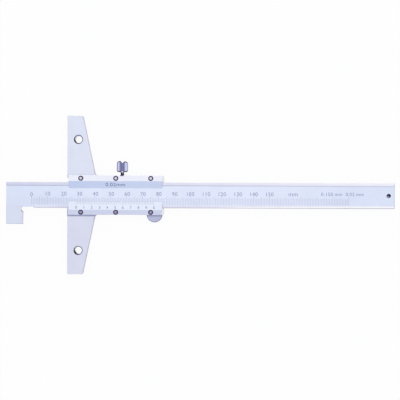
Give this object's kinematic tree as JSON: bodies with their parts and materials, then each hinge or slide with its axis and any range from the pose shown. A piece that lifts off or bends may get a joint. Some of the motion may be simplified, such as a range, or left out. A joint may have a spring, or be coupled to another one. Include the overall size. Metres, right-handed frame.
{
  "type": "vernier depth gauge",
  "caption": "Vernier depth gauge with a long flat base, a hooked sliding beam with an engraved scale, sloping vernier and cover plates, a thumb rest and a winged lock screw.",
  "frame": {"origin": "middle of the whole gauge at the pictured reading, on the surface that its back lies on", "axes": "+X along the beam away from the hook, +Y across the beam towards the lock screw, +Z out of the graduated front"},
  "size_m": [0.245, 0.1, 0.0078],
  "materials": {
    "scale_steel": "satin chromed stainless steel, brushed along the beam",
    "frame_steel": "finely ground stainless steel",
    "plate_steel": "satin chromed stainless steel",
    "screw_steel": "blued steel",
    "spring_bronze": "rolled phosphor bronze strip",
    "knob_chrome": "polished chrome plate"
  },
  "bodies": {
    "slider": {"base_frame": "frame_steel", "cover_plate": "plate_steel", "vernier_plate": "plate_steel", "cover_plate_screws": "screw_steel", "vernier_plate_screws": "screw_steel", "leaf_spring": "spring_bronze"},
    "beam": {"beam": "scale_steel"},
    "lock_screw": {"lock_wing": "knob_chrome", "lock_stud": "screw_steel"}
  },
  "joints": [
    {"name": "beam_slide", "type": "slide", "parent": "slider", "child": "beam", "axis": [-1, 0, 0], "range_m": [-0.028, 0.122]},
    {"name": "lock_turn", "type": "hinge", "parent": "slider", "child": "lock_screw", "pos_m": [-0.0494, 0.0125, 0.00401], "axis": [0, 1, 0], "range_deg": [0, 360]}
  ]
}
